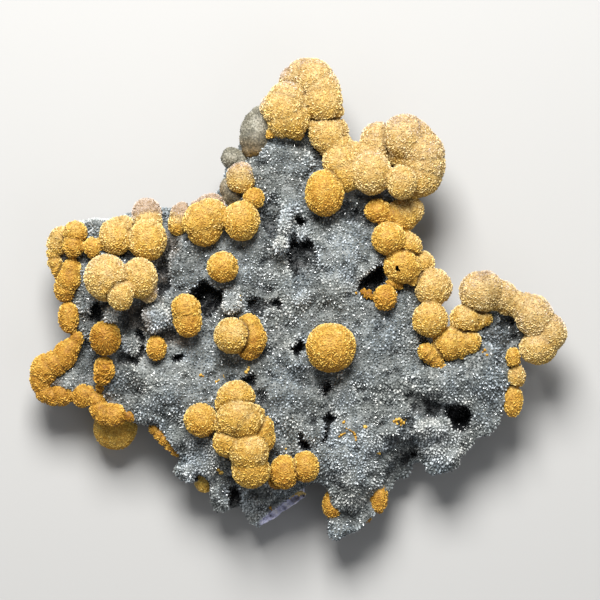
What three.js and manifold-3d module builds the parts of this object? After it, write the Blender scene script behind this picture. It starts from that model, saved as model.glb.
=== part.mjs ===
// A gyrolite specimen: golden balls of radiating gyrolite, grown singly and in fused clusters
// over a jagged, pitted plate of druzy quartz. It lies on its back, with the crystal side up.
// Units are millimetres. X runs to the right and Y up the plate as seen from the front, +Z out of it.
// The origin is on the table, under the middle of the specimen.

import * as THREE from "three";
import { mergeVertices } from "three/addons/utils/BufferGeometryUtils.js";
import Module from "manifold-3d";

const wasm = await Module();
wasm.setup();

// Driving dimensions
const PLATE_TOP = 19; // height of the druzy face over the flat back, before its swells and hollows
const RIM_DROP = 5; // how far the face falls away at the plate's edge
const RIM_WIDTH = 5.5; // how far in from the edge that fall begins
const BACK_LIFT = 8.5; // how far the broken back rises off the table at the edge
const FLAT_INSET = 15; // the back is trimmed flat this far in from the edge
const FACE_GRID = 7; // spacing of the points on the druzy face
const BACK_GRID = 15; // spacing of the points on the broken back
const FACE_BUMPS = { tall: 2.4, apart: 8, seed: 1 }; // broad unevenness of the druzy face
const FACE_GRAIN = { tall: 1.5, apart: 3.6, seed: 2 }; // and its finer unevenness
const BACK_BUMPS = { tall: 5, apart: 11, seed: 3 }; // unevenness of the broken back
const TRIM_DEPTH = 0.6; // how much of the broken back was taken off to make it flat
const TRIM_EDGE = 1; // how far in from the edge the back begins to come down to the table
const SEAT_GAP = 0.3; // clearance between a ball and the quartz it grows on
const BALL_UNEVENNESS = 0.03; // how far a ball strays from round, as a share of its radius
const KNOB_UNEVENNESS = 0.22; // and a knob of quartz
const HOLLOW_UNEVENNESS = 0.16; // and a vug
const WAVES = new THREE.Vector3(2.1, 2.3, 1.9); // how fast a lump's slow swells follow each other round it
const WAVE_SHARE = 0.33; // how much of the unevenness is in each slow swell
const GRAIN_SHARE = 0.8; // and how much in its separate corners
const WELD = 1e-4; // corners nearer than this are one
// How finely a lump of at least each radius is faceted, and how far its corners stand out to keep its bulk
const FACETS = [
  { least: 6.1, corners: 1.01, make: () => new THREE.IcosahedronGeometry(1, 2) },
  { least: 5.5, corners: 1.03, make: () => new THREE.IcosahedronGeometry(1, 1) },
  { least: 2.65, corners: 1.09, make: () => new THREE.OctahedronGeometry(1, 1) },
  { least: 0, corners: 1.12, make: () => new THREE.IcosahedronGeometry(1, 0) },
];
const BLOCK = { wide: 140, high: 126, deep: 60, middleY: -5 }; // room for the whole plate

// The plate's jagged edge, clockwise from the peak
const PLATE_EDGE = [
  [0, 50], [6, 46], [8.5, 40], [12, 37], [20, 39.5], [27.5, 39.5], [31, 34.5], [29, 28],
  [26, 22], [25.5, 14], [29, 6], [34, 1], [32.5, -10], [35, -13], [38.8, -11.2], [42.5, -7.5],
  [45, 0.5], [52, 1.5], [57.5, -2.5], [58.8, -8.8], [54.5, -14], [53, -23.8], [51, -28.8],
  [50, -32], [46.5, -33.5], [44, -35.2], [43.2, -37], [40.5, -39.5], [39, -41.5], [36.5, -42.8],
  [34, -44], [32.2, -42.5], [33, -40.8], [29, -40.5], [26, -41.5], [24.2, -45.5], [23.3, -47.8],
  [21.5, -48.5], [21, -51.5], [19, -54], [15, -57.8], [11.5, -59], [9.5, -60.8], [7.8, -59.5],
  [8.2, -56], [7.3, -52.5], [8.2, -47.8], [6.2, -45.6], [3, -45.6], [1.6, -47], [1.8, -49.5],
  [-2.5, -52.2], [-10, -57], [-12.2, -56], [-14.5, -50.8], [-16.2, -49.2], [-17.8, -53.2],
  [-20, -54], [-21.5, -52.8], [-22, -49], [-24.2, -45], [-28, -45.8], [-29.2, -44], [-29, -40],
  [-31.5, -36], [-36, -31.6], [-41.5, -30.2], [-47, -28.8], [-51, -24], [-58, -22.5],
  [-63.5, -21.5], [-65, -18.5], [-63, -15.5], [-56.5, -9.5], [-58, -1], [-58.5, 4], [-60.5, 9],
  [-60.5, 15], [-56, 19.2], [-52.5, 20], [-46.5, 20], [-42, 21.5], [-38, 23.5], [-34, 23],
  [-28.5, 22.6], [-21, 25.5], [-18.8, 29], [-17.6, 34], [-14.5, 38.5], [-12.5, 43], [-5.5, 48.5],
];

// Broad swells and dips of the druzy face: x, y, half width, half height, rise
const SWELLS = [
  [10, -14, 16, 20, 3.5],
  [-5, 34, 6, 9, 3],
  [10, 8, 12, 12, 2],
  [40, -20, 10, 8, 2.5],
  [34, -33.5, 6, 4, 2],
  [12, -42, 7, 9, 3],
  [-26, -24, 14, 12, 2],
  [-26, 8, 10, 8, 2],
  [-45, 6, 7, 7, 4],
  [-14, -33, 7, 12, 1.5],
  [-56, -16, 9, 9, -4],
  [-58, 6, 5, 12, -2.5],
  [-6, -52, 9, 5, -7],
  [-20, -50, 4, 6, -4],
  [26, -40, 6, 5.5, -6],
  [41, -27, 9, 1.8, -4],
  [14, -55, 7, 5, -4],
  [0, 52, 9, 9, -4],
  [30, 32, 10, 14, -2],
  [57, -8, 7, 8, -2],
];

// Vugs and slits cut under the face: x, y, z, half width, half height, half depth
const HOLLOWS = [
  [1.4, 9.8, 18, 4.6, 6.6, 9],
  [0.2, 18.6, 19, 1.8, 3, 8.5],
  [-22.4, -0.4, 15, 4.8, 5.6, 10],
  [19, 5.2, 15, 4.6, 5, 9.5],
  [-8.8, -1.4, 17, 5, 3, 7.5],
  [-0.6, -12.4, 18, 2.7, 2.7, 9],
  [7.2, -22, 20, 1.9, 2.4, 8],
  [7.2, -31.6, 19, 2, 4.7, 9],
  [1.4, -36.2, 18, 2.4, 2.3, 8],
  [-50.4, -2.6, 14, 3, 3.2, 8.5],
  [-42.4, -14.4, 18, 3.6, 2.6, 5],
  [-39.4, -6.6, 19.5, 2.4, 4.8, 4.5],
  [41, -29.2, 13, 3.6, 3.4, 8],
  [34.5, -27, 15, 4.6, 2.3, 4.5],
  [-17.6, -47, 12, 3.4, 5, 6],
  [15, 22.6, 20, 3, 2.6, 4.5],
];

// Knobs of druzy quartz that stand proud of the face or hang over its edge: x, y, z, radius
const KNOBS = [
  [-2, 23, 21, 2],
  [-3.4, 18.4, 21.5, 2.1],
  [-4.4, 13.2, 21.5, 2.1],
  [0.9, 17, 20, 1.7],
  [1, 0.6, 20.8, 2.2],
  [-46.8, -3.6, 21, 2.1],
  [-36, -4.2, 22, 3.4],
  [-28, -43, 12.5, 2.8],
  [-19.8, -50.8, 10, 2.8],
  [25.5, -42.5, 8.5, 2.8],
  [37.5, -39.5, 13.5, 3.2],
  [47, -30.5, 14.5, 3.2],
  [10.8, -56.5, 11.5, 2.8],
  [-17, -1, 20.8, 2.4],
];

// Balls of gyrolite, cluster by cluster: x, y, z, radius, and how far a longer one is stretched along Y
const CLUSTERS = {
  crown_balls: [
    [3.7, 55.4, 18, 5.1],
    [6.5, 50.4, 19.5, 4.9],
    [-2.2, 55.6, 16.5, 3.4],
    [-3.5, 47.9, 20.5, 5.8, 1.22],
    [7.2, 42.1, 19.5, 4.7],
    [9.7, 37.9, 19, 3.8],
    [10.9, 34.6, 20.5, 4.9],
    [12.8, 30.8, 21.5, 4],
    [6.5, 26.6, 23, 5, 1.2],
    [17.5, 31.7, 23.5, 5.4],
    [19.9, 39.8, 17.5, 4.9],
    [27.4, 41.5, 19, 5.2],
    [30.9, 37.5, 20.5, 5.6],
    [30.9, 31.2, 19.5, 5.6],
    [25.5, 29.2, 25, 3.9, 1.1],
    [25, 36.2, 17.5, 4.6],
  ],
  pale_domes: [
    [-10.8, 45, 14.8, 3.3],
    [-11.8, 40.8, 16.3, 3.5],
  ],
  small_pale_dome: [[-16.8, 35.8, 15, 2.9]],
  shoulder_balls: [
    [19.8, 22.2, 20, 3.2],
    [26.5, 21.9, 17.5, 4.8],
    [22.4, 15.2, 21.5, 4.3],
    [27.2, 13.3, 18.5, 4],
    [26.1, 8.8, 20, 4.6],
    [31.3, 9.6, 16.5, 3.2],
    [33.8, 3.3, 18.5, 4.8],
    [32.4, -4.8, 20.5, 4.3],
  ],
  vug_ball: [[21.8, 0.8, 21.5, 3]],
  arm_balls: [
    [45.7, 1.9, 18.5, 5.4],
    [51.8, 0.5, 16.5, 4.4],
    [59.7, -3.5, 17.5, 5.4],
    [62.6, -8.8, 16.5, 5],
    [59.7, -11.7, 16, 4.5],
    [42.2, -4.8, 17.5, 4.4],
    [38.2, -11.1, 17.5, 4.1],
    [43, -10, 19, 3],
    [32.8, -13.6, 19.5, 2.6],
    [35.2, -15.4, 19, 2.3],
  ],
  arm_tail_balls: [
    [53.6, -14.9, 16.5, 2.2],
    [54.7, -18.8, 15.5, 2.8],
    [53.6, -25, 15, 2.9, 1.4],
  ],
  centre_ball: [[8.2, -11.8, 26.5, 6.25]],
  middle_ball: [[-18.9, 8.2, 24, 4]],
  saddle_balls: [
    [-23.4, 19, 21.8, 5.1],
    [-14.5, 19.8, 22.5, 5.1],
    [-10.8, 25, 21, 2.6],
    [-29.3, 19.4, 18, 3.4],
    [-24.9, 22.5, 17.5, 3.2],
    [-21.2, 24, 17, 3.1],
  ],
  saddle_crest_ball: [[-14.9, 30.8, 19.5, 4]],
  left_ridge_balls: [
    [-37.6, 14.8, 21, 5.2],
    [-45.3, 16, 19.5, 4.7],
    [-37.8, 21.9, 16, 3.6],
    [-51.4, 13.3, 19.5, 2.5],
    [-56, 15, 18, 2.8, 1.5],
    [-59.5, 15.4, 15, 3.5],
    [-60.1, 10, 14.5, 2.7],
    [-56.8, 7, 16.5, 2.8, 1.4],
    [-58.9, 2.8, 15.5, 2.5],
  ],
  front_trio: [
    [-48, 5.8, 25.5, 6],
    [-39.7, 5.2, 25.5, 5.2],
    [-44.1, 1.2, 29, 3.3],
  ],
  hook_balls: [
    [-57.6, -4.4, 15, 2.6, 1.38],
    [-56.2, -9.3, 14.5, 2.3],
    [-58.2, -12.3, 14, 3],
    [-60.5, -14.6, 13.5, 3.5],
    [-63.5, -17.3, 13, 4.1],
    [-64.4, -21.4, 12.5, 2.8, 1.3],
    [-61.4, -23.6, 12.5, 2.7],
    [-58.6, -23.1, 13, 3.1],
    [-54.9, -24.2, 13.5, 2.7],
    [-52.2, -24.6, 14, 2.3],
    [-50.3, -26.2, 15, 2.6],
    [-46.4, -28.8, 16, 3.1],
  ],
  under_ball: [[-45.8, -32.1, 7, 5.6]],
  rust_ball: [[-48.6, -9.2, 20, 3.8, 1.12]],
  bumpy_ball: [[-48.7, -17.6, 18, 2.8, 1.2]],
  small_left_ball: [[-35.5, -11.9, 21, 2.6, 1.3]],
  twin_balls: [[-28, -3.6, 22.5, 4, 1.33]],
  paired_balls: [
    [-17.1, -8.9, 23.5, 4.5],
    [-11.4, -9.3, 22, 3.7, 1.42],
  ],
  edge_roll: [
    [-35.6, -33.2, 13.5, 1.8],
    [-33.2, -35.4, 13.5, 1.9],
    [-31, -37.3, 13.5, 1.7],
  ],
  lone_ball: [[-24.5, -30, 22.5, 4.1]],
  column_balls: [
    [-15.8, -24.2, 22.5, 4.5],
    [-14.9, -29.8, 25, 5.3],
    [-9.5, -32.1, 22.5, 4, 1.4],
    [-17.4, -35.4, 24, 4.2],
    [-12, -37.9, 25.5, 4.9],
    [-12, -42.1, 23.5, 4.8],
  ],
  lower_pair: [
    [-3.7, -42.9, 20.5, 4.1],
    [1.2, -41.5, 20.5, 3.9],
  ],
  tip_left_ball: [[8, -51.7, 12.5, 2.5, 1.45]],
  tip_right_ball: [[20.2, -50, 11.5, 2.4, 1.5]],
  sheltered_ball: [[-24.3, -46.2, 10, 2.4]],
};

const PALE_CLUSTERS = ["pale_domes", "small_pale_dome"];

// Large uneven multipliers, which scatter whole numbers over the range from 0 to 1
const SCATTER = [127.1, 311.7, 74.7, 43758.5453];

// Repeatable noise from 0 to 1 on whole-number places
function hash(i, j, k) {
  const s = Math.sin(i * SCATTER[0] + j * SCATTER[1] + k * SCATTER[2]) * SCATTER[3];
  return s - Math.floor(s);
}

// The same noise, smooth between those places
function smoothNoise(x, y, seed) {
  const i = Math.floor(x);
  const j = Math.floor(y);
  const u = x - i;
  const v = y - j;
  const s = u * u * (3 - 2 * u);
  const t = v * v * (3 - 2 * v);
  const low = hash(i, j, seed) * (1 - s) + hash(i + 1, j, seed) * s;
  const high = hash(i, j + 1, seed) * (1 - s) + hash(i + 1, j + 1, seed) * s;
  return low * (1 - t) + high * t;
}

// Bumps so tall and so far apart, level on the whole
function bumps(x, y, { tall, apart, seed }) {
  return tall * (smoothNoise(x / apart, y / apart, seed) - 0.5);
}

// How far a place lies inside the plate's edge
function inset(x, y) {
  let nearest = Infinity;
  PLATE_EDGE.forEach(([ax, ay], n) => {
    const [bx, by] = PLATE_EDGE[(n + 1) % PLATE_EDGE.length];
    const along = ((x - ax) * (bx - ax) + (y - ay) * (by - ay)) / ((bx - ax) ** 2 + (by - ay) ** 2);
    const t = THREE.MathUtils.clamp(along, 0, 1);
    nearest = Math.min(nearest, Math.hypot(x - ax - t * (bx - ax), y - ay - t * (by - ay)));
  });
  return nearest;
}

// A flat-topped swell that fades out past its half width and half height
function swell(x, y, [cx, cy, wide, high, rise]) {
  const d = ((x - cx) / wide) ** 2 + ((y - cy) / high) ** 2;
  return rise * Math.exp(-d * d);
}

function faceHeight(x, y) {
  const fall = RIM_DROP * (1 - THREE.MathUtils.smoothstep(inset(x, y), 0, RIM_WIDTH));
  const broad = SWELLS.reduce((sum, s) => sum + swell(x, y, s), 0);
  return PLATE_TOP + broad - fall + bumps(x, y, FACE_BUMPS) + bumps(x, y, FACE_GRAIN);
}

// The broken back: flat in the middle, where it was trimmed, and lifting towards the edge
function backHeight(x, y) {
  const lift = 1 - THREE.MathUtils.smoothstep(inset(x, y), TRIM_EDGE, FLAT_INSET);
  return Math.max(0, lift * (BACK_LIFT + bumps(x, y, BACK_BUMPS)) - TRIM_DEPTH);
}

// A closed three.js geometry as a solid
function toSolid(geometry) {
  const bare = geometry.clone();
  bare.deleteAttribute("normal");
  bare.deleteAttribute("uv");
  const merged = mergeVertices(bare, WELD);
  return new wasm.Manifold(
    new wasm.Mesh({
      numProp: 3,
      vertProperties: new Float32Array(merged.attributes.position.array),
      triVerts: new Uint32Array(merged.index.array),
    }),
  );
}

// A solid as a three.js geometry
function toGeometry(solid) {
  const mesh = solid.getMesh();
  const flat = new THREE.BufferGeometry();
  flat.setAttribute("position", new THREE.BufferAttribute(new Float32Array(mesh.vertProperties), 3));
  flat.setIndex(new THREE.BufferAttribute(new Uint32Array(mesh.triVerts), 1));
  const faceted = flat.toNonIndexed();
  faceted.computeVertexNormals();
  return faceted;
}

// Only the largest body of a solid, so that no loose sliver is left by a cut
function largest(solid) {
  return solid.decompose().reduce((best, body) => (body.volume() > best.volume() ? body : best));
}

// A block whose top (side 1) or bottom (side -1) follows a height over X and Y
function blockUnder(height, spacing, side) {
  const { wide, high, deep, middleY } = BLOCK;
  const block = new THREE.BoxGeometry(
    wide, high, deep, Math.round(wide / spacing), Math.round(high / spacing), 1,
  );
  const place = block.attributes.position;
  for (let n = 0; n < place.count; n++) {
    const x = place.getX(n);
    const y = place.getY(n) + middleY;
    place.setY(n, y);
    if (Math.sign(place.getZ(n)) === side) place.setZ(n, height(x, y));
  }
  return toSolid(block);
}

// A rounded lump whose surface is pushed in and out a little, the same way each time
function lump([x, y, z], [wide, high, deep], unevenness, grown) {
  const { corners, make } = FACETS.find(({ least }) => (wide + high) / 2 >= least);
  const ball = make();
  const place = ball.attributes.position;
  const p = new THREE.Vector3();
  for (let n = 0; n < place.count; n++) {
    p.fromBufferAttribute(place, n).normalize();
    const wave = Math.sin(WAVES.x * p.x + x) + Math.sin(WAVES.y * p.y + y) + Math.sin(WAVES.z * p.z + z);
    const corner = p.clone().multiplyScalar(50).round();
    const grain = hash(corner.x, corner.y, corner.z) - 0.5;
    const bulge = corners + unevenness * (WAVE_SHARE * wave + GRAIN_SHARE * grain);
    const reach = new THREE.Vector3(wide * bulge + grown, high * bulge + grown, deep * bulge + grown);
    p.multiply(reach);
    place.setXYZ(n, p.x + x, p.y + y, p.z + z);
  }
  return toSolid(ball);
}

// The druzy quartz plate, grown outwards on every side by a clearance
function makePlate(grown) {
  const edge = new THREE.Shape(PLATE_EDGE.map(([x, y]) => new THREE.Vector2(x, y)));
  const prism = new THREE.ExtrudeGeometry(edge, {
    depth: BLOCK.deep,
    bevelEnabled: grown > 0,
    bevelSize: grown,
    bevelThickness: grown,
    bevelSegments: 1,
  });
  let plate = blockUnder((x, y) => faceHeight(x, y) + grown, FACE_GRID, 1)
    .intersect(blockUnder((x, y) => backHeight(x, y) - grown, BACK_GRID, -1))
    .intersect(toSolid(prism.translate(0, 0, -BLOCK.deep / 4)));
  for (const [x, y, z, radius] of KNOBS) {
    plate = plate.add(lump([x, y, z], [radius, radius, radius], KNOB_UNEVENNESS, grown));
  }
  for (const [x, y, z, wide, high, deep] of HOLLOWS) {
    plate = plate.subtract(lump([x, y, z], [wide, high, deep], HOLLOW_UNEVENNESS, -grown));
  }
  return largest(plate);
}

// Fused balls, seated on the quartz
function makeCluster(balls, seat) {
  const fused = balls
    .map(([x, y, z, radius, stretch = 1]) => {
      return lump([x, y, z], [radius, radius * stretch, radius], BALL_UNEVENNESS, 0);
    })
    .reduce((sum, ball) => sum.add(ball));
  return largest(fused.subtract(seat));
}

const QUARTZ = new THREE.MeshStandardMaterial({ color: "#7f8a8a", roughness: 0.35, metalness: 0 });
const GYROLITE = new THREE.MeshStandardMaterial({ color: "#d9a24a", roughness: 0.8, metalness: 0 });
const PALE_GYROLITE = new THREE.MeshStandardMaterial({ color: "#a9a391", roughness: 0.75, metalness: 0 });

const specimen = new THREE.Group();

function addPiece(name, solid, material) {
  const mesh = new THREE.Mesh(toGeometry(solid), material);
  mesh.name = name;
  specimen.add(mesh);
}

addPiece("druzy_quartz_plate", makePlate(0), QUARTZ);
const seat = makePlate(SEAT_GAP);
for (const [name, balls] of Object.entries(CLUSTERS)) {
  addPiece(name, makeCluster(balls, seat), PALE_CLUSTERS.includes(name) ? PALE_GYROLITE : GYROLITE);
}

export default specimen;
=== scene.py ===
import math

import bmesh
import bpy
import numpy as np
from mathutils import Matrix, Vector, noise
from mathutils.bvhtree import BVHTree


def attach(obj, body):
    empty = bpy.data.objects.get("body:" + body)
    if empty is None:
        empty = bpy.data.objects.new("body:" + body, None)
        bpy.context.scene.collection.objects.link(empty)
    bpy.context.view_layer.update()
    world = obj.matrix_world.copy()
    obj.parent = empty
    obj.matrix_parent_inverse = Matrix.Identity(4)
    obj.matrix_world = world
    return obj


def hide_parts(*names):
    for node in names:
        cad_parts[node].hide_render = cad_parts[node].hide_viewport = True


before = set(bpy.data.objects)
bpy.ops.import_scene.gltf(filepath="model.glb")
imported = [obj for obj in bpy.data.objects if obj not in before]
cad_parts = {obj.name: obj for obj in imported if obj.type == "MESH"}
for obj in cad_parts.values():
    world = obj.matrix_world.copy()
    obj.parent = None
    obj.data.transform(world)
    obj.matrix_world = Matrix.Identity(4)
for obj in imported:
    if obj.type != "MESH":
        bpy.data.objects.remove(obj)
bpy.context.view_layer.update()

MM = 0.001

# Camera
# It looks straight down on the specimen, which lies on its back, so +Y is up in the picture.
# The long lens keeps the outer balls upright, as they are in the photograph.
camera_height = 0.92
face_height = 0.02
view_width = 0.150
view_shift = 0.0005
sensor = 36
camera = bpy.data.objects.new("camera", bpy.data.cameras.new("camera"))
camera.location = (view_shift, 0, camera_height)
camera.data.sensor_width = sensor
camera.data.lens = sensor * (camera_height - face_height) / view_width
bpy.context.scene.collection.objects.link(camera)
bpy.context.scene.camera = camera

# Floor and light
# A pale studio table, with one large soft lamp above the top of the picture, a weaker one
# opposite, and even light from all round, so that the balls are brightest on their upper sides.
floor_mesh = bpy.data.meshes.new("floor")
floor_reach = 2.0
floor_mesh.from_pydata(
    [(x * floor_reach, y * floor_reach, 0) for x, y in ((-1, -1), (1, -1), (1, 1), (-1, 1))],
    [],
    [(0, 1, 2, 3)],
)
floor = bpy.data.objects.new("floor", floor_mesh)
bpy.context.scene.collection.objects.link(floor)
floor_paint = bpy.data.materials.new("pale_table")
floor_paint.use_nodes = True
floor_shader = floor_paint.node_tree.nodes["Principled BSDF"]
floor_shader.inputs["Base Color"].default_value = (0.46, 0.46, 0.455, 1)
floor_shader.inputs["Roughness"].default_value = 0.8
floor_mesh.materials.append(floor_paint)


def add_lamp(name, place, width, power, colour):
    """A square soft lamp that points at the middle of the specimen."""
    lamp = bpy.data.objects.new(name, bpy.data.lights.new(name, "AREA"))
    lamp.data.size = width
    lamp.data.energy = power
    lamp.data.color = colour
    lamp.location = place
    lamp.rotation_mode = "QUATERNION"
    lamp.rotation_quaternion = (Vector((0, 0, face_height)) - Vector(place)).to_track_quat("-Z", "Y")
    bpy.context.scene.collection.objects.link(lamp)


add_lamp("key_lamp", (-0.06, 0.46, 0.58), 0.34, 11.4, (1.0, 0.985, 0.96))
add_lamp("fill_lamp", (0.35, -0.40, 0.60), 0.5, 0.6, (0.95, 0.97, 1.0))
world = bpy.data.worlds.new("soft_room")
world.use_nodes = True
room_light = world.node_tree.nodes["Background"]
room_light.inputs["Color"].default_value = (0.95, 0.97, 1.0, 1)
room_light.inputs["Strength"].default_value = 0.2
bpy.context.scene.world = world
bpy.context.scene.view_settings.view_transform = "Standard"

# Druzy quartz plate
# A broken piece of a cavity lining: grey-green quartz, pitted with vugs and rough with ridges on the
# crystal side, snapped off along its edge, and flat where it was trimmed at the back.


def baked(thing):
    """The plain mesh that an object's modifiers make."""
    graph = bpy.context.evaluated_depsgraph_get()
    graph.update()
    return bpy.data.meshes.new_from_object(thing.evaluated_get(graph), depsgraph=graph)


def add_object(name, mesh):
    thing = bpy.data.objects.new(name, mesh)
    bpy.context.scene.collection.objects.link(thing)
    return thing


def drop(thing):
    """Deletes a helper object and its mesh."""
    mesh = thing.data
    bpy.data.objects.remove(thing)
    bpy.data.meshes.remove(mesh)


def fused(mesh, voxel):
    """The outer skin of a mesh's overlapping bodies, in even faces about a voxel across."""
    thing = add_object("to_fuse", mesh)
    remesh = thing.modifiers.new("fuse", "REMESH")
    remesh.mode = "VOXEL"
    remesh.voxel_size = voxel
    skin = baked(thing)
    drop(thing)
    return skin


def points_of(mesh):
    """The places and the normals of a mesh's vertices, as arrays."""
    places = np.empty(len(mesh.vertices) * 3)
    mesh.vertices.foreach_get("co", places)
    normals = np.empty(len(mesh.vertices) * 3)
    mesh.vertex_normals.foreach_get("vector", normals)
    return places.reshape(-1, 3), normals.reshape(-1, 3)


def place_points(mesh, places):
    mesh.vertices.foreach_set("co", places.ravel())
    mesh.update()


def set_attributes(mesh, **attributes):
    """Stores each named array as a value at every vertex."""
    for name, values in attributes.items():
        made = mesh.attributes.get(name) or mesh.attributes.new(name, "FLOAT", "POINT")
        made.data.foreach_set("value", np.asarray(values, dtype=np.float32))


def step(values, start, end):
    """0 before start and 1 after end, smooth between them."""
    t = np.clip((values - start) / (end - start), 0, 1)
    return t * t * (3 - 2 * t)


def lumpy(places, size, seed):
    """Smooth noise from about -1 to 1 whose bumps are about that size."""
    shift = Vector((seed * 7.31, seed * 3.17, seed * 5.73))
    return np.array([noise.noise(Vector(p) / size + shift) for p in places])


def how_enclosed(places, normals, tree, reach, rays=14):
    """The share of rays from each point that soon meet the same surface again."""
    golden = math.pi * (3 - math.sqrt(5))
    lowest = 0.85  # how far down from the normal the rays reach, where 1 is level with the surface
    lift = 0.25 * MM
    fan = []
    for n in range(rays):
        up = 1 - (n + 0.5) / rays * lowest
        out = math.sqrt(1 - up * up)
        fan.append((out * math.cos(n * golden), out * math.sin(n * golden), up))
    blocked = np.zeros(len(places))
    for n, (place, normal) in enumerate(zip(places, normals)):
        up = Vector(normal)
        side = up.orthogonal().normalized()
        across = up.cross(side)
        start = Vector(place) + up * lift
        for x, y, z in fan:
            if tree.ray_cast(start, side * x + across * y + up * z, reach)[0] is not None:
                blocked[n] += 1
    return blocked / rays


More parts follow.
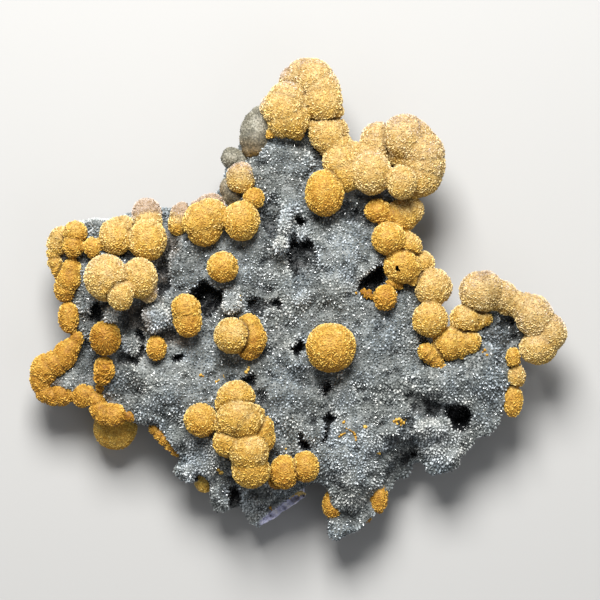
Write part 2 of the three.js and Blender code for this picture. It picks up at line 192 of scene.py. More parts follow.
# Hollows of the face as they show in the photograph, in its pixels: depth in millimetres, outline
# Each outline is cut to its depth, and shade is also painted into it.
hollows = {
    "pocket": (3.6, [(288, 247), (292, 243), (315, 248), (319, 259), (315, 268), (304, 268), (298, 278),
        (294, 280), (288, 266), (285, 257)]),
    "pocket head": (9, [(297, 243), (303, 241), (309, 237), (312, 241), (316, 247), (312, 251),
        (304, 247)]),
    "pocket neck": (8, [(289, 246), (291, 236), (292, 230), (296, 232), (296, 240), (298, 245),
        (293, 249)]),
    "ridge gap": (8, [(294, 213), (299, 213), (301, 217), (306, 220), (306, 224), (301, 228), (297, 226),
        (294, 221)]),
    "below the peak": (1.7, [(267, 139), (284, 141), (300, 141), (312, 142), (322, 150), (325, 160),
        (325, 171), (318, 168), (313, 158), (306, 150), (290, 147), (270, 147)]),
    "beside the long ball": (2.0, [(301, 178), (306, 170), (314, 166), (323, 165), (320, 172), (311, 176),
        (306, 187), (301, 191)]),
    "below the pale dome": (1.3, [(252, 158), (262, 155), (268, 162), (262, 170), (254, 168)]),
    "left of the ridge": (0.8, [(262, 236), (269, 238), (273, 246), (273, 255), (266, 256), (258, 246)]),
    "below the pocket foot": (2.4, [(294, 279), (304, 284), (300, 297), (294, 292)]),
    "pinhole": (3, [(327, 239), (332, 239), (332, 245), (327, 245)]),
    "shoulder vug": (8, [(356, 288), (362, 279), (375, 268), (382, 261), (388, 272), (386, 284),
        (378, 290), (374, 302), (364, 301), (358, 293)]),
    "vug foot": (1.2, [(362, 302), (374, 303), (377, 318), (368, 324), (362, 314)]),
    "crevice": (3.5, [(246, 300), (252, 295), (262, 297), (270, 301), (280, 297), (284, 304), (282, 311),
        (274, 307), (264, 310), (263, 318), (257, 318), (250, 314), (245, 308)]),
    "above the crevice": (1.4, [(241, 282), (250, 280), (262, 286), (266, 296), (254, 296), (245, 300)]),
    "crevice holes": (7, [(265, 302), (273, 301), (279, 297), (284, 303), (283, 311), (276, 307),
        (266, 308)]),
    "beside the ridge": (1.9, [(264, 202), (272, 199), (281, 204), (281, 216), (279, 230), (275, 242),
        (269, 237), (262, 228), (261, 214)]),
    "under the crown": (2.4, [(338, 207), (346, 199), (358, 203), (368, 206), (375, 214), (372, 224),
        (362, 224), (350, 222), (340, 218)]),
    "great vug": (9, [(187, 293), (193, 287), (199, 281), (207, 279), (212, 286), (218, 289), (225, 287),
        (224, 294), (216, 296), (207, 297), (204, 304), (205, 311), (213, 312), (212, 318), (204, 318),
        (198, 308)]),
    "great vug floor": (4.5, [(204, 293), (224, 291), (225, 301), (220, 307), (213, 314), (205, 314)]),
    "below the saddle": (0.6, [(168, 252), (188, 246), (206, 250), (206, 276), (186, 282), (170, 276)]),
    "small vug": (7, [(170, 359), (176, 353), (183, 353), (186, 358), (180, 362), (173, 363)]),
    "slit foot": (7, [(128, 357), (134, 358), (139, 362), (136, 367), (130, 364)]),
    "under the trio": (1.6, [(118, 312), (126, 311), (131, 322), (137, 331), (131, 335), (123, 332)]),
    "left field": (1.8, [(76, 344), (92, 340), (98, 352), (96, 380), (88, 392), (78, 388), (74, 366)]),
    "below the pocket": (1.6, [(301, 270), (314, 266), (322, 272), (320, 290), (310, 292), (302, 288)]),
    "finger shade": (1.6, [(218, 483), (232, 480), (230, 498), (221, 501)]),
    "left slit": (6, [(133, 322), (139, 327), (146, 337), (145, 346), (143, 354), (140, 362), (136, 366),
        (130, 362), (127, 357), (131, 355), (136, 356), (139, 350), (140, 341), (134, 332)]),
    "left of the strip": (2.5, [(116, 353), (120, 350), (130, 358), (136, 362), (130, 366), (120, 360)]),
    "beside the trio": (2.6, [(158, 212), (167, 214), (170, 228), (180, 238), (176, 250), (169, 258),
        (169, 274), (171, 288), (160, 300), (155, 288), (158, 262), (167, 248), (167, 236)]),
    "between the trio and the ridge": (3.2, [(114, 247), (124, 246), (134, 250), (137, 258), (130, 264),
        (122, 264), (114, 256)]),
    "arm shade": (3.4, [(480, 326), (486, 316), (496, 312), (514, 313), (516, 328), (520, 336),
        (512, 346), (504, 352), (494, 346), (484, 340)]),
    "beside the rust ball": (2, [(116, 353), (127, 353), (128, 360), (118, 360)]),
    "left vug": (7, [(90, 304), (96, 301), (104, 302), (110, 300), (109, 307), (106, 312), (105, 319),
        (99, 324), (93, 321), (89, 313)]),
    "left vug foot": (2.6, [(78, 314), (86, 312), (94, 318), (96, 326), (88, 326)]),
    "brown hollow": (2.5, [(129, 314), (138, 313), (147, 318), (146, 327), (140, 327), (132, 322)]),
    "below the twins": (2, [(160, 332), (168, 329), (178, 333), (176, 341), (166, 340)]),
    "below the great vug": (1.5, [(201, 316), (212, 317), (213, 325), (204, 326)]),
    "column crevice": (4, [(236, 382), (241, 377), (249, 376), (251, 371), (255, 377), (256, 386),
        (262, 393), (261, 402), (255, 396), (250, 386), (244, 384)]),
    "beside the column": (2, [(256, 386), (262, 390), (268, 400), (272, 415), (266, 420), (260, 408),
        (256, 398)]),
    "speck hollow": (2, [(181, 375), (189, 374), (190, 380), (183, 381)]),
    "above the roll": (2, [(144, 421), (152, 419), (160, 428), (160, 440), (150, 436)]),
    "centre vug": (7, [(287, 346), (293, 347), (298, 341), (305, 341), (307, 350), (301, 353), (299, 361),
        (295, 358), (292, 352)]),
    "below the centre ball": (1.8, [(286, 372), (298, 366), (312, 368), (326, 376), (336, 382),
        (328, 389), (314, 388), (298, 384), (288, 381)]),
    "upper crack": (7, [(326, 381), (330, 380), (331, 384), (335, 387), (332, 391), (329, 394),
        (328, 398), (323, 397), (323, 391), (325, 387)]),
    "right nick": (4.5, [(352, 385), (357, 387), (361, 386), (366, 387), (364, 393), (357, 393)]),
    "lower crack": (7, [(322, 418), (326, 413), (330, 410), (335, 411), (332, 415), (337, 416),
        (338, 421), (332, 424), (331, 428), (332, 432), (329, 438), (326, 444), (321, 443), (324, 435),
        (324, 428), (324, 423)]),
    "pair vug": (7, [(300, 430), (304, 434), (303, 438), (307, 441), (310, 441), (312, 451), (305, 451),
        (298, 448), (299, 441), (298, 436)]),
    "overhang": (3.0, [(406, 393), (416, 390), (428, 397), (440, 403), (452, 402), (459, 406), (456, 417),
        (446, 418), (434, 415), (424, 416), (415, 413), (409, 409)]),
    "lower left field": (1.1, [(110, 352), (120, 356), (134, 372), (146, 380), (145, 400), (136, 416),
        (120, 414), (110, 402), (112, 384)]),
    "right vug": (9, [(446, 407), (455, 404), (463, 404), (470, 408), (473, 417), (470, 427), (462, 435),
        (454, 430), (450, 422), (445, 415)]),
    "below the right vug": (3, [(416, 412), (428, 414), (440, 416), (436, 420), (424, 420)]),
    "right step": (3.4, [(398, 424), (404, 417), (414, 414), (416, 424), (411, 434), (404, 436),
        (399, 430)]),
    "right edge step": (2.6, [(384, 436), (396, 434), (404, 438), (412, 434), (419, 448), (419, 458),
        (408, 461), (400, 456), (392, 460), (386, 452)]),
    "beside the tongue": (2.6, [(388, 466), (396, 457), (402, 450), (410, 458), (416, 474), (404, 492),
        (388, 498), (382, 484)]),
    "under the arm": (2, [(445, 356), (456, 357), (467, 361), (464, 366), (450, 364)]),
    "arm gap": (4, [(421, 339), (430, 341), (429, 347), (422, 345)]),
    "above the wedge": (2, [(247, 488), (260, 484), (275, 490), (272, 500), (258, 501), (248, 498)]),
    "finger gap": (7, [(229, 488), (236, 485), (242, 492), (242, 514), (232, 516), (228, 506)]),
    "over the sheltered ball": (9, [(194, 470), (204, 475), (210, 486), (208, 497), (198, 500),
        (192, 484)]),
}
photo_scale = 4  # pixels to a millimetre
photo_middle = (298, 300)  # the pixel over the middle of the plate
overhead = 60  # a height above all of the specimen, in millimetres

# The source's smooth vugs, which are filled before the hollows above are cut: x, y, half width, half height
vugs = [
    (1.4, 9.8, 4.6, 6.6), (0.2, 18.6, 1.8, 3.0), (-22.4, -0.4, 4.8, 5.6), (19.0, 5.2, 4.6, 5.0),
    (-8.8, -1.4, 5.0, 3.0), (-0.6, -12.4, 2.7, 2.7), (7.2, -22.0, 1.9, 2.4), (7.2, -31.6, 2.0, 4.7),
    (1.4, -36.2, 2.4, 2.3), (-50.4, -2.6, 3.0, 3.2), (-42.4, -14.4, 3.6, 2.6), (-39.4, -6.6, 2.4, 4.8),
    (41.0, -29.2, 3.6, 3.4), (34.5, -27.0, 4.6, 2.3), (-17.6, -47.0, 3.4, 5.0), (15.0, 22.6, 3.0, 2.6),
]

# Ridges and blocks that stand up, as they show there: rise in millimetres, paleness, outline
# Their paleness is partly a pale crust and partly painted light, as on the wedge face, which lies in shade.
ridges = {
    "ridge": (2.0, 0.78, [(291, 206), (297, 210), (294, 223), (291, 233), (289, 246), (287, 254),
        (288, 263), (283, 262), (280, 257), (275, 251), (275, 245), (277, 237), (279, 230), (280, 221),
        (283, 211)]),
    "above the ridge": (0.8, 0.1, [(285, 186), (292, 182), (298, 192), (296, 204), (287, 205),
        (284, 196)]),
    "ridge knob": (2.0, 1, [(296, 229), (303, 225), (306, 230), (308, 234), (306, 239), (300, 243),
        (296, 240)]),
    "centre knob": (1.2, 1, [(297, 294), (304, 290), (309, 295), (311, 301), (307, 305), (305, 312),
        (300, 306), (294, 301)]),
    "beside the great vug": (1.6, 0.8, [(222, 286), (238, 286), (243, 296), (240, 310), (228, 316),
        (222, 306)]),
    "edge below the trio": (0.5, 1, [(144, 312), (148, 314), (152, 320), (160, 322), (163, 326),
        (158, 330), (151, 334), (149, 328), (146, 320)]),
    "below the trio": (0.3, 0.42, [(136, 305), (142, 301), (152, 303), (162, 303), (170, 309), (173, 320),
        (170, 328), (165, 325), (160, 327), (154, 332), (149, 334), (148, 322), (143, 315), (138, 311)]),
    "upper left edge": (0.2, 0.8, [(58, 214), (118, 212), (118, 222), (58, 223)]),
    "above the rust ball": (1.4, 1, [(106, 302), (110, 306), (115, 307), (122, 313), (117, 317),
        (118, 321), (111, 324), (103, 321), (106, 317), (102, 313), (105, 309)]),
    "strip knob": (1, 1, [(121, 335), (126, 334), (128, 340), (124, 344), (121, 340)]),
    "slit end": (0.8, 1, [(137, 356), (143, 356), (143, 363), (138, 362)]),
    "left shelf": (0.9, 0.15, [(140, 376), (162, 372), (183, 378), (184, 402), (168, 414), (146, 408),
        (136, 392)]),
    "tongue": (1.2, 0.5, [(330, 424), (352, 418), (376, 428), (384, 446), (374, 470), (352, 486),
        (336, 480), (328, 452)]),
    "lower right block": (1.6, 0.8, [(418, 424), (432, 418), (446, 428), (460, 438), (463, 452),
        (452, 464), (436, 466), (422, 452)]),
    "right shelf": (1.2, 0.2, [(432, 378), (448, 372), (458, 384), (456, 400), (440, 402), (430, 392)]),
    "middle shelf": (1.2, 0.5, [(336, 386), (348, 382), (356, 396), (350, 418), (340, 420), (334, 402)]),
    "lower left block": (1.2, 0.7, [(184, 436), (200, 432), (216, 440), (220, 462), (214, 478),
        (198, 476), (186, 460)]),
    "lower left knob": (1.4, 0.9, [(182, 466), (194, 464), (197, 474), (190, 483), (184, 478)]),
    "upper left field": (0.7, 0, [(166, 258), (186, 250), (200, 262), (198, 280), (180, 284),
        (168, 276)]),
    "pocket side": (0.9, 0.35, [(316, 236), (334, 226), (356, 240), (358, 262), (346, 280), (322, 284),
        (317, 262)]),
    "vug side": (1.0, 0.5, [(340, 284), (352, 278), (366, 266), (376, 262), (360, 278), (352, 292),
        (344, 300)]),
    "upper middle field": (0.4, 0.35, [(226, 246), (252, 242), (276, 252), (274, 280), (256, 284),
        (232, 280)]),
    "wedge face": (0.3, 1, [(241, 504), (256, 499), (266, 508), (268, 518), (260, 527), (250, 524),
        (244, 514)]),
    "left spot": (0.6, 1, [(78, 320), (84, 319), (87, 323), (82, 325)]),
    "left strip": (0.8, 0.6, [(122, 336), (130, 336), (140, 352), (141, 362), (133, 360), (124, 348)]),
    "lower tongue": (0.8, 0.5, [(336, 500), (352, 492), (366, 498), (362, 508), (346, 514), (336, 510)]),
}

# Where the quartz is tinted brown: stains, and in the second outline, right of the front trio, also painted
# shade
brown_patches = [
    [(122, 302), (147, 308), (152, 326), (140, 332), (127, 322)],
    [(163, 234), (180, 234), (178, 250), (169, 260), (169, 286), (160, 300), (155, 290), (156, 262)],
    [(47, 380), (54, 378), (58, 384), (54, 391), (47, 389)],
    [(103, 395), (110, 395), (113, 403), (106, 406)],
    [(162, 330), (190, 332), (188, 346), (164, 343)],
    [(56, 248), (68, 250), (66, 264), (57, 262)],
]

# The wedge at the lower edge: its outline in the photograph's pixels, its height and how much of its
# width is left at its foot, and the line along which it is broken, so that its glassy inside shows
wedge = [
    (237, 500), (242, 506), (245, 516), (250, 526), (260, 531), (285, 515), (308, 498), (300, 489),
    (262, 480),
]
wedge_height = 11
wedge_foot = 0.6
break_ends = ((-7.6, -56.6), (2.4, -49.4))
break_width = 2.3
break_height = 4.0
break_slope = 2.6


def on_plate(x, y):
    """A pixel of the photograph as a place over the plate, in millimetres."""
    return (x - photo_middle[0]) / photo_scale, (photo_middle[1] - y) / photo_scale


def inside_outline(flat, outline):
    """How far each flat point is inside an outline, less than 0 outside, in millimetres."""
    corners = [np.array(on_plate(x, y)) for x, y in outline]
    away = np.full(len(flat), 1e9)
    within = np.zeros(len(flat), dtype=bool)
    for a, b in zip(corners, corners[1:] + corners[:1]):
        t = np.clip((flat - a) @ (b - a) / ((b - a) @ (b - a)), 0, 1)
        away = np.minimum(away, np.linalg.norm(flat - a - t[:, None] * (b - a), axis=1))
        crosses = (a[1] > flat[:, 1]) != (b[1] > flat[:, 1])
        level = b[1] - a[1] if b[1] != a[1] else 1
        within ^= crosses & (flat[:, 0] < (b[0] - a[0]) * (flat[:, 1] - a[1]) / level + a[0])
    return np.where(within, away, -away)


def from_line(flat, start, end):
    """How far each flat point is from a line between two ends."""
    a = np.array(start)
    along = np.array(end) - a
    t = np.clip((flat - a) @ along / (along @ along), 0, 1)
    return np.linalg.norm(flat - a - t[:, None] * along, axis=1)


def ragged(mm):
    """Flat places shifted by noise, so that what is cut by them gets a jagged edge."""
    level = mm * np.array([1, 1, 0])

    def shift(seed):
        return 0.32 * lumpy(level, 1.1, seed) + 0.22 * lumpy(level, 2.6, seed + 1)

    return mm[:, :2] + np.column_stack((shift(11), shift(13)))


def patches(flat, size, seed, start, end):
    """0 to 1 in patches of about that size over flat points."""
    level = np.column_stack((flat, np.zeros(len(flat))))
    return step(lumpy(level, size, seed), start, end)


def most_of(flat, amount):
    """The most that a hollow gives at each flat point, by its depth and how far inside it the point is."""
    amounts = [amount(deep, inside_outline(flat, outline)) for deep, outline in hollows.values()]
    return np.max(amounts, axis=0)


def hollow_depth(flat):
    """How deep the hollows are at each flat point, in millimetres."""
    floor_height = 0.55 + 0.45 * patches(flat, 2.1, 21, -0.3, 0.1)
    return most_of(
        flat, lambda deep, inside: deep * floor_height * step(inside, -0.25, 0.15 + 0.06 * deep)
    )


def painted_shade_of(flat):
    """How much shade is painted into the hollows and pits at each flat point, from 0 to 1."""
    patchy = 0.55 + 0.45 * patches(flat, 1.3, 22, -0.3, 0.15)
    dark = most_of(
        flat, lambda deep, inside: patchy * min(1, 0.2 + deep / 7) * step(inside, -0.15, 0.2)
    )
    return np.clip(np.maximum(dark, 0.22 * pit_depth(flat)), 0, 1)


def brown_tint_of(flat):
    """How brown each flat point is tinted, from 0 to 1: by stains, and right of the front trio also as
    painted shade.
    """
    inside = np.max([inside_outline(flat, outline) for outline in brown_patches], axis=0)
    return 0.8 * step(inside, -1.5, 1.0)


def paleness_and_light_of(mm):
    """How pale the quartz is, from 0 to 1: on the ridges and along the rims of the hollows, partly a pale
    crust and partly painted light.
    """
    flat = ragged(mm)
    broken_rim = step(lumpy(mm, 4.0, 31), -0.35, 0.15)
    pale = most_of(
        flat,
        lambda deep, inside: np.exp(-((inside + 0.45) ** 2) / 0.25)
        * (inside < 0.2)
        * broken_rim
        * min(1.0, deep / 5),
    )
    for _, shine, outline in ridges.values():
        pale = np.maximum(pale, shine * step(inside_outline(flat, outline), -0.2, 0.2))
    return pale


def pit_depth(flat):
    """How deep the small ragged pits between the hollows are, in millimetres."""
    return 1.6 * patches(flat, 2.6, 3, 0.26, 0.42) + 0.9 * patches(flat, 5.5, 5, 0.12, 0.3)


def mark_looks(mesh, mm, corners=1):
    """Stores how pale the quartz is with its painted light, its painted hollow shade and its stain and
    shade tint at each place, for all of its corners.
    """
    flat = ragged(mm)
    looks = {"pale": paleness_and_light_of(mm), "hollow_shade": painted_shade_of(flat), "stain_and_shade": brown_tint_of(flat)}
    set_attributes(mesh, **{name: np.repeat(values, corners) for name, values in looks.items()})


def carve_plate(places, normals):
    """Ridges, hollows and rough stone on the filled plate."""
    mm = places / MM
    facing = step(normals[:, 2], 0.05, 0.5)
    flat = ragged(mm)
    rise = np.zeros(len(mm))
    for high, _, outline in ridges.values():
        rise = np.maximum(rise, high * step(inside_outline(flat, outline), -0.3, 0.4))
    fall = hollow_depth(flat)
    rough = 0.85 * lumpy(mm, 5.2, 1) + 0.5 * lumpy(mm, 2.4, 2)
    mm += normals * (rough * (0.35 + 0.65 * facing))[:, None]  # less rough at the sides and back
    mm[:, 2] += facing * (rise - fall - pit_depth(flat))
    slope = break_height + break_slope * from_line(mm[:, :2], *break_ends)
    mm[:, 2] = np.where(facing > 0, np.minimum(mm[:, 2], slope), mm[:, 2])
    mm[:, 2] = np.maximum(mm[:, 2], 0)
    return mm * MM


def fill_vugs(shape):
    """Puts a plug in each of the source's vugs, up to the height of the face round it."""
    rim = 1.25  # where the height is taken, as a share of the vug's width
    lowest_rim = 8
    overlap = 0.8
    plug_depth = 10
    plug_foot = 5
    face = BVHTree.FromBMesh(shape)
    for x, y, wide, high in vugs:
        ring = [(math.cos(n * math.pi / 8), math.sin(n * math.pi / 8)) for n in range(16)]
        heights = []
        for u, v in ring:
            start = Vector((x + rim * wide * u, y + rim * high * v, overhead)) * MM
            hit = face.ray_cast(start, Vector((0, 0, -1)))[0]
            if hit is not None and hit.z > lowest_rim * MM:
                heights.append(hit.z)
        top = sum(heights) / len(heights)
        made = bmesh.ops.create_icosphere(shape, subdivisions=3, radius=1)
        for v in made["verts"]:
            across = Vector((v.co.x * (wide + overlap) + x, v.co.y * (high + overlap) + y, 0)) * MM
            v.co = Vector((across.x, across.y, min(top, top + (v.co.z - 0.6) * plug_depth * MM)))
            v.co.z = max(v.co.z, plug_foot * MM)


def add_wedge(shape):
    """Puts the wedge on the plate's edge, to its outline in the photograph, narrower below."""
    foot_height = 0.5
    root = np.array(wedge[-1])
    rings = []
    for share, height in ((wedge_foot, foot_height), (1, wedge_height)):
        outline = root + share * (np.array(wedge) - root)
        rings.append([shape.verts.new(Vector((*on_plate(x, y), height)) * MM) for x, y in outline])
    faces = [shape.faces.new(ring) for ring in rings]
    for n in range(len(wedge)):
        after = (n + 1) % len(wedge)
        faces.append(shape.faces.new((rings[0][n], rings[0][after], rings[1][after], rings[1][n])))
    bmesh.ops.recalc_face_normals(shape, faces=faces)


weld_gap = 0.01 * MM
carving_voxel = 0.62 * MM
plate_voxel = 0.78 * MM
wall_reach = 9 * MM
plate_source = bmesh.new()
plate_source.from_mesh(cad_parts["druzy_quartz_plate"].data)
bmesh.ops.remove_doubles(plate_source, verts=plate_source.verts, dist=weld_gap)
fill_vugs(plate_source)
add_wedge(plate_source)
plate_mesh = bpy.data.meshes.new("druzy_quartz_plate_rough")
plate_source.to_mesh(plate_mesh)
plate_source.free()
plate_mesh = fused(plate_mesh, carving_voxel)
place_points(plate_mesh, carve_plate(*points_of(plate_mesh)))
plate_mesh = fused(plate_mesh, plate_voxel)
plate_places, plate_normals = points_of(plate_mesh)
fine_bumps = 0.2 * lumpy(plate_places / MM, 1.6, 4)
plate_places = plate_places + plate_normals * fine_bumps[:, None] * MM
plate_places[:, 2] = np.maximum(plate_places[:, 2], 0)
place_points(plate_mesh, plate_places)
plate_mesh.shade_smooth()
plate_places, plate_normals = points_of(plate_mesh)
plate_tree = BVHTree.FromPolygons(
    [Vector(p) for p in plate_places], [tuple(f.vertices) for f in plate_mesh.polygons]
)
off_break = from_line(plate_places[:, :2] / MM, *break_ends)
glassy = 1 - step(off_break, break_width * 0.8, break_width * 1.1)
druzy = step(plate_normals[:, 2], -0.35, 0.1) * (1 - glassy)
# How enclosed each point is, kept to paint shade into hollows and crevices.
set_attributes(plate_mesh, enclosed=how_enclosed(plate_places, plate_normals, plate_tree, wall_reach))
mark_looks(plate_mesh, plate_places / MM)
set_attributes(plate_mesh, glassy=glassy, druzy=druzy)


def new_material(name, roughness, ior):
    """A node material, its tree and its shader."""
    made = bpy.data.materials.new(name)
    made.use_nodes = True
    shader = made.node_tree.nodes["Principled BSDF"]
    shader.inputs["Roughness"].default_value = roughness
    shader.inputs["IOR"].default_value = ior
    return made, made.node_tree, shader


def attribute(tree, name):
    node = tree.nodes.new("ShaderNodeAttribute")
    node.attribute_name = name
    return node.outputs["Fac"]


def cloud(tree, size, detail=2.0):
    """Noise from 0 to 1 over the object, whose clouds are about that size in metres."""
    place = tree.nodes.new("ShaderNodeTexCoord")
    node = tree.nodes.new("ShaderNodeTexNoise")
    node.inputs["Scale"].default_value = 1 / size
    node.inputs["Detail"].default_value = detail
    tree.links.new(place.outputs["Object"], node.inputs["Vector"])
    return node.outputs["Fac"]


def ramp(tree, factor, stops):
    """A colour for each factor, between (factor, colour) stops."""
    node = tree.nodes.new("ShaderNodeValToRGB")
    tree.links.new(factor, node.inputs["Fac"])
    while len(node.color_ramp.elements) < len(stops):
        node.color_ramp.elements.new(1)
    for element, (at, colour) in zip(node.color_ramp.elements, stops):
        element.position = at
        element.color = (*colour, 1)
    return node.outputs["Color"]


def mixed(tree, factor, first, second, way="MIX"):
    """The second colour over the first, by a factor that is a number or a socket."""
    node = tree.nodes.new("ShaderNodeMix")
    node.data_type = "RGBA"
    node.blend_type = way
    for socket, value in zip((node.inputs[0], node.inputs[6], node.inputs[7]), (factor, first, second)):
        if isinstance(value, bpy.types.NodeSocket):
            tree.links.new(value, socket)
        elif isinstance(value, tuple):
            socket.default_value = (*value, 1)
        else:
            socket.default_value = value
    return node.outputs[2]


def calculated(tree, way, first, second):
    """A Math node's result for two numbers or sockets, kept from 0 to 1."""
    node = tree.nodes.new("ShaderNodeMath")
    node.operation = way
    node.use_clamp = True
    for socket, value in zip(node.inputs, (first, second)):
        if isinstance(value, bpy.types.NodeSocket):
            tree.links.new(value, socket)
        else:
            socket.default_value = value
    return node.outputs[0]


def scaled(tree, value, factor):
    return calculated(tree, "MULTIPLY", value, factor)


def painted_hollow_shade(tree, colour, dark, start, rate):
    """The colour, with a dark one painted in its place as shade where the surface is enclosed from a start
    on, or lies in a shaded hollow.
    """
    painted_shade_amount = scaled(tree, calculated(tree, "SUBTRACT", attribute(tree, "enclosed"), start), rate)
    painted_shade_amount = calculated(tree, "ADD", painted_shade_amount, scaled(tree, attribute(tree, "hollow_shade"), 0.8))
    return mixed(tree, painted_shade_amount, colour, dark)


def add_bump(tree, shader, height, distance):
    node = tree.nodes.new("ShaderNodeBump")
    node.inputs["Distance"].default_value = distance
    tree.links.new(height, node.inputs["Height"])
    tree.links.new(node.outputs["Normal"], shader.inputs["Normal"])


stone, tree, shader = new_material("quartz_mass", 0.5, 1.5)
lining = ramp(
    tree,
    cloud(tree, 2.2 * MM, 4),
    [(0.3, (0.06, 0.066, 0.064)), (0.52, (0.135, 0.148, 0.142)), (0.72, (0.27, 0.29, 0.29))],
)
broken = ramp(
    tree,
    cloud(tree, 6 * MM, 6),
    [(0.3, (0.075, 0.077, 0.074)), (0.5, (0.17, 0.172, 0.165)), (0.7, (0.33, 0.325, 0.31))],
)
colour = mixed(tree, attribute(tree, "druzy"), broken, lining)
glass = ramp(
    tree,
    cloud(tree, 1.5 * MM, 3),
    [(0.35, (0.42, 0.43, 0.66)), (0.55, (0.70, 0.71, 0.96)), (0.7, (0.96, 0.95, 1.0))],
)
colour = mixed(tree, attribute(tree, "glassy"), colour, glass)
# Brown tint of stains, and painted shade right of the front trio.
colour = mixed(tree, attribute(tree, "stain_and_shade"), colour, (0.11, 0.075, 0.045))
# Painted shade: near black in enclosed hollows and in the hollow shade outlines.
colour = painted_hollow_shade(tree, colour, (0.014, 0.015, 0.016), 0.3, 2.2)
tree.links.new(colour, shader.inputs["Base Color"])
add_bump(tree, shader, cloud(tree, 0.5 * MM, 5), 0.2 * MM)

plate_mesh.materials.clear()
plate_mesh.materials.append(stone)
plate = add_object("druzy_plate", plate_mesh)
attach(plate, "root")
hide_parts("druzy_quartz_plate")

# Crown of gyrolite balls
# Gyrolite is a soft golden silicate that grew from many centres into balls of radiating blades.
# Along the peak and the right shoulder the balls met as they grew, and fused.

grown = []  # every ball so far, for what grows round it


def make_grain(name, corners, faces, heights):
    """A tiny shape to scatter, with how far each corner stands out as its crest attribute."""
    mesh = bpy.data.meshes.new(name)
    mesh.from_pydata(corners, [], faces)
    set_attributes(mesh, crest=heights)
    grain = add_object(name, mesh)
    grain.hide_render = True
    return grain


def make_scatter():
    """A node tree that stands grains on a mesh where its growth attribute lets them."""
    tree = bpy.data.node_groups.new("scatter_grains", "GeometryNodeTree")
    sockets = {
        "Geometry": ["Mesh"],
        "Object": ["Grain"],
        "Float": ["Spacing", "Smallest", "Largest", "Tilt", "Swirl"],
        "Bool": ["Keep Mesh"],
        "Int": ["Seed"],
        "Material": ["Material"],
    }
    for kind, labels in sockets.items():
        for label in labels:
            tree.interface.new_socket(name=label, in_out="INPUT", socket_type=f"NodeSocket{kind}")
    tree.interface.new_socket(name="Mesh", in_out="OUTPUT", socket_type="NodeSocketGeometry")

    def add(kind, values=None, **settings):
        node = tree.nodes.new(kind)
        for key, value in settings.items():
            setattr(node, key, value)
        for key, value in (values or {}).items():
            if isinstance(value, bpy.types.NodeSocket):
                tree.links.new(value, node.inputs[key])
            else:
                node.inputs[key].default_value = value
        return node

    def sum_of(first, second):
        return add("ShaderNodeMath", {0: first, 1: second}, operation="ADD").outputs[0]

    def product_of(first, second):
        return add("ShaderNodeMath", {0: first, 1: second}, operation="MULTIPLY").outputs[0]

    given = add("NodeGroupInput").outputs

    def scatter_value(low, high, seed):
        """A random number for each grain."""
        salt = sum_of(given["Seed"], seed)
        return add("FunctionNodeRandomValue", {2: low, 3: high, 8: salt}, data_type="FLOAT").outputs[1]

    def stored(name):
        return add("GeometryNodeInputNamedAttribute", {0: name}, data_type="FLOAT").outputs[0]

    growth = stored("growth")
    square = add("ShaderNodeMath", {0: given["Spacing"], 1: 2.0}, operation="POWER").outputs[0]
    crowd = add("ShaderNodeMath", {0: 4.0, 1: square}, operation="DIVIDE").outputs[0]
    spread = add(
        "GeometryNodeDistributePointsOnFaces",
        {
            "Mesh": given["Mesh"],
            "Distance Min": given["Spacing"],
            "Density Max": crowd,
            "Density Factor": growth,
            "Seed": given["Seed"],
        },
        distribute_method="POISSON",
    )
    less = product_of(given["Tilt"], -1.0)
    place = add("GeometryNodeInputPosition").outputs[0]
    swirl = add("ShaderNodeTexNoise", {"Vector": place, "Scale": given["Swirl"], "Detail": 0.0})
    spin = sum_of(product_of(swirl.outputs[0], 25.0), scatter_value(-0.5, 0.5, 1))
    lean = add(
        "ShaderNodeCombineXYZ",
        {0: scatter_value(less, given["Tilt"], 2), 1: scatter_value(less, given["Tilt"], 3), 2: spin},
    ).outputs[0]
    leaning = add("FunctionNodeEulerToRotation", {0: lean}).outputs[0]
    rotation = add(
        "FunctionNodeRotateRotation",
        {0: spread.outputs["Rotation"], 1: leaning},
        rotation_space="LOCAL",
    ).outputs[0]
    grain = add("GeometryNodeObjectInfo", {"Object": given["Grain"], "As Instance": True})
    coarse = stored("coarse")
    size = scatter_value(given["Smallest"], given["Largest"], 4)
    size = product_of(size, coarse)
    standing = add(
        "GeometryNodeInstanceOnPoints",
        {
            "Points": spread.outputs["Points"],
            "Instance": grain.outputs["Geometry"],
            "Rotation": rotation,
            "Scale": size,
        },
    ).outputs[0]
    shaded = add(
        "GeometryNodeStoreNamedAttribute",
        {"Geometry": standing, "Name": "shade", "Value": scatter_value(0.0, 1.0, 5)},
        data_type="FLOAT",
        domain="INSTANCE",
    ).outputs[0]
    solid = add("GeometryNodeRealizeInstances", {0: shaded}).outputs[0]
    painted = add("GeometryNodeSetMaterial", {"Geometry": solid, "Material": given["Material"]}).outputs[0]
    kept = {0: given["Keep Mesh"], 2: given["Mesh"]}
    base = add("GeometryNodeSwitch", kept, input_type="GEOMETRY").outputs[0]
    joined = add("GeometryNodeJoinGeometry")
    tree.links.new(base, joined.inputs[0])
    tree.links.new(painted, joined.inputs[0])
    end = add("NodeGroupOutput")
    tree.links.new(joined.outputs[0], end.inputs[0])
    return tree


scatter = make_scatter()


def scattered(name, mesh, **values):
    """The mesh with grains on it, or the grains alone, as one plain mesh."""
    thing = add_object(name, mesh)
    grow = thing.modifiers.new("grow", "NODES")
    grow.node_group = scatter
    for item in scatter.interface.items_tree:
        label = item.name.replace(" ", "_").lower()
        if item.in_out == "INPUT" and label in values:
            grow[item.identifier] = values[label]
    result = baked(thing)
    drop(thing)
    result.name = name
    return result


